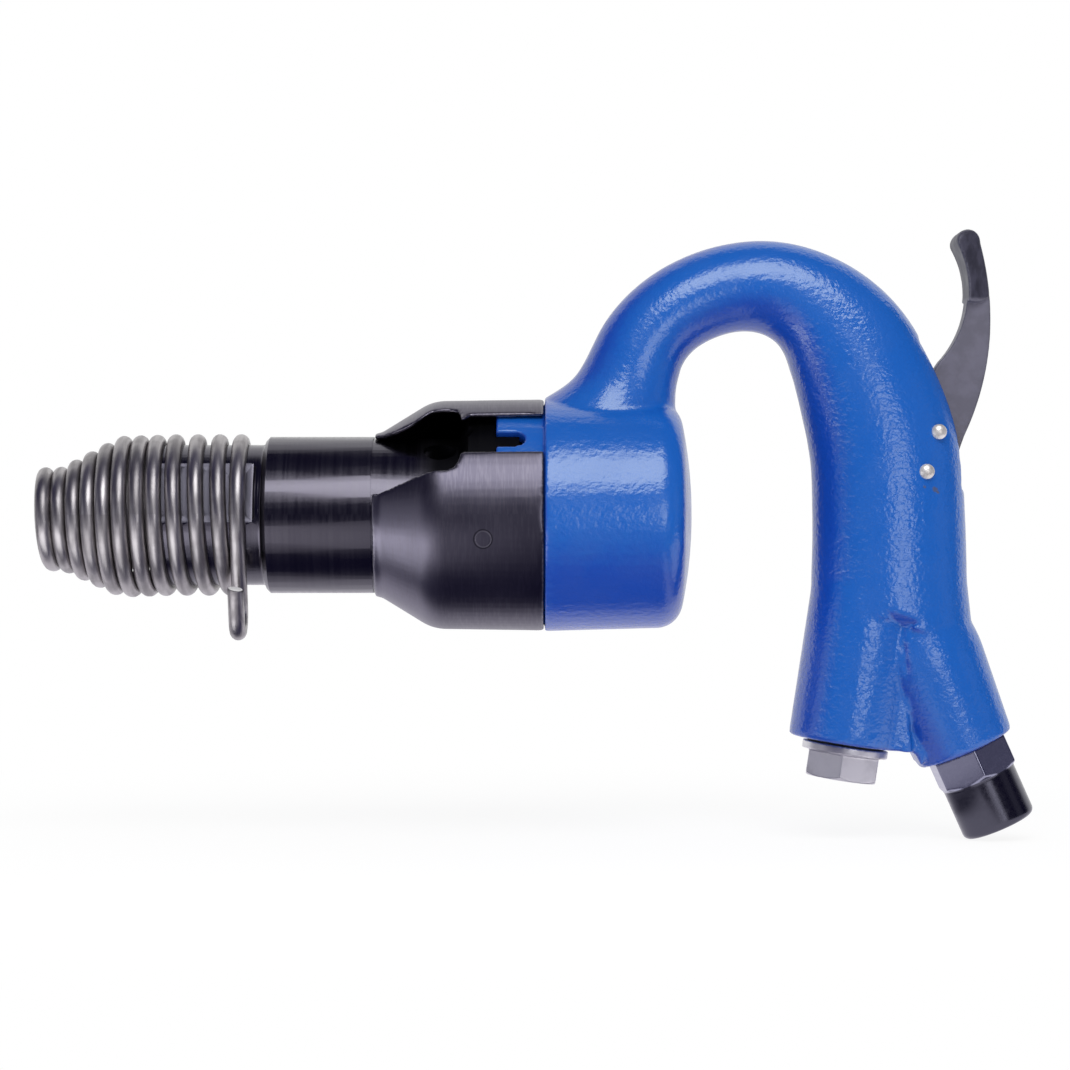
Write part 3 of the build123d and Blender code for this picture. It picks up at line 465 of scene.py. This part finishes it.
bareSteel = {"blotchScale": 140.0, "stainSpan": (0.4, 0.7), "depth": 0.003 * mm, "metallic": 1.0}
brightSteel = {
    **bareSteel, "colour": (0.82, 0.81, 0.84, 1), "stain": (0.68, 0.67, 0.70, 1), "grainScale": 2400.0,
    "roughness": (0.36, 0.46)}
hardSteel = {
    **bareSteel, "colour": (0.42, 0.42, 0.44, 1), "stain": (0.30, 0.30, 0.33, 1), "grainScale": 2100.0,
    "roughness": (0.26, 0.38)}
bronze = {
    **bareSteel, "colour": (0.62, 0.40, 0.20, 1), "stain": (0.44, 0.27, 0.13, 1), "grainScale": 2100.0,
    "roughness": (0.30, 0.42)}
pinSteel = {
    **bareSteel, "colour": (0.88, 0.86, 0.83, 1), "stain": (0.72, 0.66, 0.59, 1), "grainScale": 1700.0,
    "depth": 0.006 * mm, "roughness": (0.32, 0.44), "metallic": 0.66}


def makeSteel(name, look):
    # bare metal, finely ground, with a little stain
    material, tree, shader = newFinish(name)
    grain = grainOf(tree, objectPoint(tree), look)
    colour = mixColour(tree, ease(tree, grain["Blotch"], *look["stainSpan"]), look["colour"], look["stain"])
    feed(tree, shader, {"Base Color": colour, "Metallic": look["metallic"],
                        "Roughness": ease(tree, grain["Height"], *toneSpan, *look["roughness"]),
                        "Normal": bump(tree, grain["Height"], look["depth"])})
    return material


rubber = {
    "colour": (0.016, 0.016, 0.018, 1), "worn": (0.030, 0.030, 0.032, 1), "grainScale": 2200.0,
    "blotchScale": 200.0, "depth": 0.01 * mm, "roughness": (0.55, 0.75)}


def makeRubber():
    look = rubber
    material, tree, shader = newFinish("rubber")
    grain = grainOf(tree, objectPoint(tree), look)
    colour = mixColour(tree, ease(tree, grain["Blotch"], *blotchSpan), look["colour"], look["worn"])
    feed(tree, shader, {"Base Color": colour,
                        "Roughness": ease(tree, grain["Height"], *toneSpan, *look["roughness"]),
                        "Normal": bump(tree, grain["Height"], look["depth"])})
    return material


finishes = {
    "blue_enamel": makeBlueEnamel(),
    "black_oxide": makeBlackOxide("blackOxide", barrelOxide, barrelMarks),
    "satin_black": makeSatinBlack(),
    "spring_wire": makeSpringWire(),
    "lever_steel": makeLeverSteel(),
    "bright_steel": makeSteel("brightSteel", brightSteel),
    "hard_steel": makeSteel("hardSteel", hardSteel),
    "bronze": makeSteel("bronze", bronze),
    "rubber": makeRubber(),
}
ownFinish = {
    "inlet_bushing": makeBlackOxide("inletOxide", inletOxide, inletMarks),
    "lever_pin": makeSteel("pinSteel", pinSteel),
}
ownFinish["stop_pin"] = ownFinish["lever_pin"]
print("finishes made:", len(finishes) + len(ownFinish))


# Mesh helpers

def copyNode(name):
    bm = bmesh.new()
    bm.from_mesh(nodes[name].data)
    bmesh.ops.remove_doubles(bm, verts=bm.verts, dist=mergeGap)
    return bm


def addObject(name, data):
    made = bpy.data.objects.new(name, data)
    scene.collection.objects.link(made)
    return made


def newMesh(name, bm):
    mesh = bpy.data.meshes.new(name)
    bm.to_mesh(mesh)
    bm.free()
    return mesh


def takeShape(source):
    # the object's finished shape, after which the object goes
    shown = source.evaluated_get(bpy.context.evaluated_depsgraph_get())
    made = bpy.data.meshes.new_from_object(shown)
    bpy.data.objects.remove(source)
    bm = bmesh.new()
    bm.from_mesh(made)
    return bm


def placePiece(bm, pieceName, node, sharpAngle=40):
    mesh = newMesh(pieceName, bm)
    slotName = slotOf[node]
    mesh.materials.append(ownFinish.get(node, finishes[slotName]))
    mesh.shade_smooth()
    mesh.set_sharp_from_angle(angle=math.radians(sharpAngle))
    piece = addObject(pieceName, mesh)
    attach(piece, nodes[node]["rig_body"])
    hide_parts(node)
    print(pieceName, "has", len(mesh.polygons), "faces")
    return piece


def throughModifier(bm, kind, **settings):
    source = addObject("source", newMesh("source", bm))
    step = source.modifiers.new("step", kind)
    for key, value in settings.items():
        setattr(step, key, value)
    return takeShape(source)


def reskin(bm, voxel):
    # an even skin of small faces over the solid's shape
    return throughModifier(bm, "REMESH", mode="VOXEL", voxel_size=voxel)


def thin(bm, triangles):
    # fewer faces where the skin is nearly flat
    count = sum(len(f.verts) - 2 for f in bm.faces)
    return throughModifier(bm, "DECIMATE", ratio=min(1.0, triangles / count))


def edgesBeyond(bm, angle, inner=False):
    limit = math.radians(angle)
    sign = -1 if inner else 1
    hard = [e for e in bm.edges if e.is_manifold and sign * e.calc_face_angle_signed() > limit]
    return {v for e in hard for v in e.verts}


def grow(verts, rings):
    grown = set(verts)
    for ring in range(rings):
        grown |= {e.other_vert(v) for v in grown for e in v.link_edges}
    return list(grown)


def relax(bm, verts, rounds):
    for turn in range(rounds):
        bmesh.ops.smooth_vert(bm, verts=verts, factor=0.5, use_axis_x=True, use_axis_y=True, use_axis_z=True)


def markRubbed(bm, angle, rings):
    rubbed = bm.verts.layers.float.new("edgeRub")
    for v in grow(edgesBeyond(bm, angle), rings):
        v[rubbed] = 1.0


def fillHoles(bm):
    bmesh.ops.holes_fill(bm, edges=[e for e in bm.edges if e.is_boundary], sides=0)


def roundEdges(bm, edges, width):
    return bmesh.ops.bevel(bm, geom=edges, offset=width, offset_type="OFFSET", affect="EDGES",
                           segments=2, profile=0.5, material=-1)["faces"]


# Handle casting: one skin over head, neck, grip and bosses, with the inner corners filled as cast

castHandle = {
    "voxel": 0.60 * mm, "evenRounds": 3, "edgeAngle": 14, "edgeRings": 2, "edgeRounds": 4,
    "headX": 122 * mm, "headRounds": 1, "cornerAngle": 12, "cornerRings": 3, "cornerRounds": 6,
    "creaseTop": -20 * mm, "creaseRings": 1, "creaseRounds": 3, "rubAngle": 9, "rubRings": 1,
    "pinGap": 0.15 * mm, "triangles": 190000, "sharpAngle": 60}


def closePinHole(bm, pin):
    low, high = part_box(pin)
    centre = (low + high) / 2
    reach = (high.x - low.x) / 2 + castHandle["pinGap"]

    def inHole(v):
        return math.hypot(v.co.x - centre.x, v.co.z - centre.z) < reach

    wall = [f for f in bm.faces if all(inHole(v) for v in f.verts)]
    bmesh.ops.delete(bm, geom=wall, context="FACES")
    fillHoles(bm)


def buildHandle():
    look = castHandle
    bm = copyNode("handle")
    for pin in ("lever_pin", "stop_pin"):
        closePinHole(bm, pin)
    bm = reskin(bm, look["voxel"])
    inner = edgesBeyond(bm, look["cornerAngle"], inner=True)
    cast = [v for v in inner if v.co.x > look["headX"] + look["cornerRings"] * look["voxel"]]
    corners = grow([v for v in cast if v.co.z > look["creaseTop"]], look["cornerRings"])
    creases = grow([v for v in cast if v.co.z <= look["creaseTop"]], look["creaseRings"])
    outer = edgesBeyond(bm, look["edgeAngle"])
    edges = grow([v for v in outer if v.co.x > look["headX"]], look["edgeRings"])
    relax(bm, [v for v in bm.verts if v.co.x > look["headX"]], look["evenRounds"])
    relax(bm, [v for v in bm.verts if v.co.x <= look["headX"]], look["headRounds"])
    relax(bm, edges, look["edgeRounds"])
    relax(bm, corners, look["cornerRounds"])
    relax(bm, creases, look["creaseRounds"])
    markRubbed(bm, look["rubAngle"], look["rubRings"])
    placePiece(thin(bm, look["triangles"]), "castHandle", "handle", look["sharpAngle"])


buildHandle()


# Beehive retainer spring, wound from the same turns as the solid

beehiveSpring = {
    "wire": 4.86 * mm, "closedPitch": 4.77 * mm, "bodyPitch": 5.10 * mm, "groovePitch": 6.7 * mm,
    "mouthRadius": 13.5 * mm, "bodyRadius": 22.225 * mm, "droop": 1.4 * mm,
    "firstTurn": 0.085, "coneTurns": (1.4, 5.1), "coneBlend": 0.6, "bodyEnd": 7.6, "grooveStart": 8.3,
    "runout": 11.1, "lastTurn": 11.57, "lastX": 26.3 * mm,
    "tail": 19.6 * mm, "tailSteps": 4, "bendRadius": 5.5 * mm, "bendSteps": 14, "tailReturn": 10.4 * mm,
    "stepsPerTurn": 48, "lookBack": 0.02, "sides": 7, "endRound": 0.3 * mm, "endTilt": (-0.16, 0.30)}


def springX(turn):
    # the pitch changes evenly between the knots, and is summed back from the last turn
    look = beehiveSpring
    coneEnd = look["coneTurns"][1]
    knots = [(coneEnd - look["coneBlend"], look["closedPitch"]), (coneEnd, look["bodyPitch"]),
             (look["bodyEnd"], look["bodyPitch"]), (look["grooveStart"], look["groovePitch"]),
             (look["runout"], look["groovePitch"]), (look["lastTurn"], 0.0)]
    place = look["lastX"]
    upperTurn, upperPitch = knots.pop()
    while knots and turn < upperTurn:
        lowerTurn, lowerPitch = knots.pop()
        reach = max(turn, lowerTurn)
        share = (reach - lowerTurn) / (upperTurn - lowerTurn)
        reachPitch = lowerPitch + share * (upperPitch - lowerPitch)
        place -= (upperTurn - reach) * (upperPitch + reachPitch) / 2
        upperTurn, upperPitch = lowerTurn, lowerPitch
    return place - max(upperTurn - turn, 0.0) * upperPitch


def springPoint(turn):
    look = beehiveSpring
    coneStart, coneEnd = look["coneTurns"]
    share = min(max((turn - coneStart) / (coneEnd - coneStart), 0.0), 1.0)
    radius = look["mouthRadius"] + share * (look["bodyRadius"] - look["mouthRadius"])
    angle = math.tau * turn
    droop = look["droop"] * max(1 - turn / look["grooveStart"], 0.0)
    return Vector((springX(turn), radius * math.cos(angle), radius * math.sin(angle) - droop))


def springRoute():
    look = beehiveSpring
    first, last = look["firstTurn"], look["lastTurn"]
    count = round((last - first) * look["stepsPerTurn"])
    route = [springPoint(first + (last - first) * i / count) for i in range(count + 1)]
    down = (springPoint(last) - springPoint(last - look["lookBack"])).normalized()
    side = down.cross(Vector((1, 0, 0))).normalized()
    start = route[-1]
    low = start + down * look["tail"]
    route += [start.lerp(low, i / look["tailSteps"]) for i in range(1, look["tailSteps"])]
    for i in range(look["bendSteps"] + 1):
        angle = math.pi * i / look["bendSteps"]
        route.append(low + (side * (1 - math.cos(angle)) + down * math.sin(angle)) * look["bendRadius"])
    route.append(route[-1] - down * look["tailReturn"])
    return route


def sweepWire(route):
    curve = bpy.data.curves.new("springWire", "CURVE")
    curve.dimensions = "3D"
    curve.bevel_depth = beehiveSpring["wire"] / 2
    curve.bevel_resolution = beehiveSpring["sides"]
    line = curve.splines.new("POLY")
    line.points.add(len(route) - 1)
    for point, place in zip(line.points, route):
        point.co = (*place, 1)
    return takeShape(addObject("springWire", curve))


def isCap(face):
    return len(face.verts) > 4


def buildSpring():
    look = beehiveSpring
    route = springRoute()
    bm = sweepWire(route)
    bmesh.ops.remove_doubles(bm, verts=bm.verts, dist=mergeGap)
    fillHoles(bm)
    bmesh.ops.recalc_face_normals(bm, faces=bm.faces)
    cutEnd = bm.faces.layers.float.new("cutEnd")
    caps = [f for f in bm.faces if isCap(f)]
    print("spring wire has", len(caps), "ends")
    # the tail is cut off at a slant
    tailCap = min(caps, key=lambda f: (f.calc_center_median() - route[-1]).length)
    centre = tailCap.calc_center_median()
    tiltX, tiltY = look["endTilt"]
    for v in tailCap.verts:
        v.co.z = centre.z + (v.co.x - centre.x) * tiltX + (v.co.y - centre.y) * tiltY
    roundEdges(bm, [e for f in caps for e in f.edges], look["endRound"])
    for face in bm.faces:
        if isCap(face):
            face[cutEnd] = 1.0
    placePiece(bm, "beehiveSpring", "retainer_spring")


buildSpring()


# Pressed, forged and milled pieces: an even skin with its edges rounded a little

softPieces = {
    "exhaust_deflector": {"name": "splitSleeve", "voxel": 0.56 * mm, "even": 2, "rounds": 3},
    "throttle_lever": {"name": "throttleLever", "voxel": 0.3 * mm, "even": 2, "rounds": 6,
                       "softZ": 67.0 * mm, "softRings": 4, "softRounds": 24},
    "throttle_plug": {"name": "hexPlug", "voxel": 0.28 * mm, "even": 1, "rounds": 1},
    "inlet_bushing": {"name": "inletBushing", "voxel": 0.36 * mm, "even": 1, "rounds": 1},
}
softEdge = {"angle": 20, "rings": 2, "rubAngle": 12, "rubRings": 0, "sharpAngle": 60}


def buildSoftPiece(node, look):
    bm = reskin(copyNode(node), look["voxel"])
    edges = grow(edgesBeyond(bm, softEdge["angle"]), softEdge["rings"])
    relax(bm, bm.verts, look["even"])
    relax(bm, edges, look["rounds"])
    if "softZ" in look:
        soft = grow([v for v in edges if v.co.z > look["softZ"]], look["softRings"])
        relax(bm, soft, look["softRounds"])
    markRubbed(bm, softEdge["rubAngle"], softEdge["rubRings"])
    placePiece(bm, look["name"], node, softEdge["sharpAngle"])


for node, look in softPieces.items():
    buildSoftPiece(node, look)


# Turned pieces: the barrel has its own chamfers, the small ones get a broken edge

turnedBarrel = {
    "longest": 3.0 * mm, "inset": 0.15 * mm, "ringPoints": 24, "cutGap": 0.001 * mm, "sharpAngle": 20}
brokenEdges = {
    "chisel_bushing": {"name": "chiselBushing", "width": 0.25 * mm, "angle": 30},
    "lever_pin": {"name": "leverPin", "width": 0.18 * mm, "angle": 25},
    "stop_pin": {"name": "stopPin", "width": 0.18 * mm, "angle": 25},
}
flatAngle = 0.3  # degrees, facets nearer to flat than this are joined


def buildBarrel():
    # loops just inside the ends of each straight length, so that it stays straight in the light
    look = turnedBarrel
    bm = copyNode("barrel")
    counts = {}
    for v in bm.verts:
        ring = round(v.co.x, 5)
        counts[ring] = counts.get(ring, 0) + 1
    rings = sorted(ring for ring, count in counts.items() if count > look["ringPoints"])
    for start, end in zip(rings, rings[1:]):
        if end - start > look["longest"]:
            for place in (start + look["inset"], end - look["inset"]):
                bmesh.ops.bisect_plane(bm, geom=bm.verts[:] + bm.edges[:] + bm.faces[:], dist=look["cutGap"],
                                       plane_co=(place, 0, 0), plane_no=(1, 0, 0))
    placePiece(bm, "turnedBarrel", "barrel", look["sharpAngle"])


def buildBrokenEdge(node, look):
    # flat facets joined first, then every hard edge gets a small round, noted for the rubbed finish
    bm = copyNode(node)
    bmesh.ops.dissolve_limit(bm, angle_limit=math.radians(flatAngle), verts=bm.verts, edges=bm.edges)
    rubbed = bm.faces.layers.float.new("edgeRub")
    limit = math.radians(look["angle"])
    hard = [e for e in bm.edges if e.is_manifold and e.calc_face_angle() > limit]
    for face in roundEdges(bm, hard, look["width"]):
        face[rubbed] = 1.0
    placePiece(bm, look["name"], node)


buildBarrel()
for node, look in brokenEdges.items():
    buildBrokenEdge(node, look)


# Throttle spring, which shortens towards the plug as the valve is pushed down; here it is only placed, with a
# mesh of its own

def buildThrottleSpring():
    coil = placePiece(copyNode("throttle_spring"), "throttleSpring", "throttle_spring")
    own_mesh(coil)


buildThrottleSpring()

# Pieces inside keep the solid itself, with its finish
for name, node in nodes.items():
    if not node.hide_render:
        node.data.materials.clear()
        node.data.materials.append(finishes[slotOf[name]])
print("inner pieces finished")


# Studio: pale floor, white all round for the camera, soft boxes above and at the sides

studio = {
    "floorRadius": 0.46, "floorSides": 128, "floorDrop": 0.05 * mm, "floorColour": (0.86, 0.86, 0.87, 1),
    "floorRough": 0.9, "floorSpecular": 0.1, "floorGlow": 0.30,
    "fadeRadius": (0.06, 0.32), "fadeShare": (0.80, 1.0),
    "white": (1, 1, 1, 1), "glow": (0.95, 0.925, 1.0, 1), "shade": (0.030, 0.026, 0.085, 1),
    "ambient": 0.50, "behind": (0.22, 0.50), "aim": (0.115, 0.0, 0.0),
    "boxes": {
        "keyBox": {"place": (0.18, -0.53, 0.515), "size": (0.56, 0.42), "roll": 30, "level": 4.1},
        "frontBox": {"place": (0.46, -0.92, 0.0), "size": (0.36, 0.36), "level": 2.3},
        "lowBox": {"place": (-0.125, -0.12, -0.097), "size": (0.25, 0.17), "level": 1.5,
                   "aim": (-0.125, -0.12, 1.0)},
        "leftBox": {"place": (-0.75, -0.25, 0.02), "size": (0.50, 0.40), "level": 0.5},
        "rightBox": {"place": (0.95, -0.25, 0.05), "size": (0.30, 0.40), "level": 0.14}}}

# what glossy pieces see of the floor: white behind, beside the foot and in front of the nose, shade elsewhere
floorShine = {
    "behindY": (-0.015, 0.035), "noseY": (-0.07, -0.12), "noseX": (0.10, 0.06), "nose": 0.9,
    "footX": (0.175, 0.19), "footEnd": (0.228, 0.212), "beyondX": (0.252, 0.268), "footY": (-0.15, -0.11),
    "foot": 0.6, "nearX": (0.226, 0.236), "nearY": (-0.075, -0.055)}


def shineMask(tree, x, y):
    look = floorShine
    nose = ease(tree, x, *look["noseX"], 0.0, look["nose"])
    nose = calc(tree, "MULTIPLY", ease(tree, y, *look["noseY"]), nose)
    foot = ease(tree, x, *look["footX"], 0.0, look["foot"])
    foot = calc(tree, "MULTIPLY", foot, ease(tree, x, *look["footEnd"]))
    foot = calc(tree, "ADD", foot, ease(tree, x, *look["beyondX"]))
    foot = calc(tree, "MULTIPLY", foot, ease(tree, y, *look["footY"]))
    near = calc(tree, "MULTIPLY", ease(tree, x, *look["nearX"]), ease(tree, y, *look["nearY"]))
    foot = calc(tree, "MAXIMUM", foot, near)
    lit = calc(tree, "MAXIMUM", ease(tree, y, *look["behindY"]), foot)
    return calc(tree, "MAXIMUM", lit, nose)


def floorMaterial():
    material, tree, shader = newFinish("paleFloor")
    feed(tree, shader, {"Base Color": studio["floorColour"], "Roughness": studio["floorRough"],
                        "Specular IOR Level": studio["floorSpecular"], "Emission Color": studio["white"],
                        "Emission Strength": studio["floorGlow"]})
    x, y, z = axes(tree, objectPoint(tree))
    path = addNode(tree, "ShaderNodeLightPath").outputs
    # the camera sees white, with the object's shadow round the middle
    fade = ease(tree, distanceFrom(tree, x, y, studio["aim"]), *studio["fadeRadius"], *studio["fadeShare"])
    white = addNode(tree, "ShaderNodeEmission", {"Color": studio["white"], "Strength": 1.0}).outputs[0]
    share = calc(tree, "MULTIPLY", fade, path["Is Camera Ray"])
    shown = addNode(tree, "ShaderNodeMixShader", {0: share, 1: shader.outputs[0], 2: white}).outputs[0]
    colour = mixColour(tree, shineMask(tree, x, y), studio["shade"], studio["glow"])
    shine = addNode(tree, "ShaderNodeEmission", {"Color": colour, "Strength": 1.0}).outputs[0]
    mixed = addNode(tree, "ShaderNodeMixShader", {0: path["Is Glossy Ray"], 1: shown, 2: shine}).outputs[0]
    plug(tree, tree.nodes["Material Output"].inputs[0], mixed)
    return material


def buildFloor():
    bm = bmesh.new()
    bmesh.ops.create_circle(bm, cap_ends=True, segments=studio["floorSides"], radius=studio["floorRadius"])
    bmesh.ops.translate(bm, verts=bm.verts, vec=(studio["aim"][0], 0, cadLow.z - studio["floorDrop"]))
    mesh = newMesh("paleFloor", bm)
    mesh.materials.append(floorMaterial())
    floor = addObject("paleFloor", mesh)


def buildWorld():
    world = bpy.data.worlds.new("studio")
    world.use_nodes = True
    scene.world = world
    tree = world.node_tree
    path = addNode(tree, "ShaderNodeLightPath").outputs
    y = axes(tree, addNode(tree, "ShaderNodeTexCoord").outputs["Generated"])[1]
    glossy = path["Is Glossy Ray"]
    lit = calc(tree, "MAXIMUM", ease(tree, y, *studio["behind"]), calc(tree, "SUBTRACT", 1.0, glossy))
    through = calc(tree, "MAXIMUM", path["Is Transmission Ray"], glossy)
    seen = calc(tree, "MAXIMUM", path["Is Camera Ray"], through)
    diffuse = calc(tree, "MULTIPLY", path["Is Diffuse Ray"], studio["ambient"])
    feed(tree, tree.nodes["Background"], {"Color": mixColour(tree, lit, studio["shade"], studio["white"]),
                                          "Strength": calc(tree, "ADD", seen, diffuse)})


def buildBoxes():
    for name, look in studio["boxes"].items():
        width, height = look["size"]
        lamp = bpy.data.lights.new(name, "AREA")
        lamp.shape = "RECTANGLE"
        lamp.size = width
        lamp.size_y = height
        lamp.energy = look["level"] * math.pi * width * height
        box = addObject(name, lamp)
        box.location = look["place"]
        aim = Vector(look.get("aim", studio["aim"]))
        turn = (aim - box.location).to_track_quat("-Z", "Y")
        turn = turn @ Quaternion((0, 0, 1), math.radians(look.get("roll", 0)))
        box.rotation_euler = turn.to_euler()
        box.visible_camera = False


photoView = {"place": (0.115, -0.915, -0.0061), "lens": 100.93, "sensor": 36.0}


def buildCamera():
    data = bpy.data.cameras.new("photoView")
    data.lens = photoView["lens"]
    data.sensor_width = photoView["sensor"]
    camera = addObject("photoView", data)
    camera.location = photoView["place"]
    camera.rotation_euler = (math.pi / 2, 0, 0)
    scene.camera = camera


buildFloor()
buildWorld()
buildBoxes()
buildCamera()
scene.view_settings.view_transform = "Standard"
print("studio set")
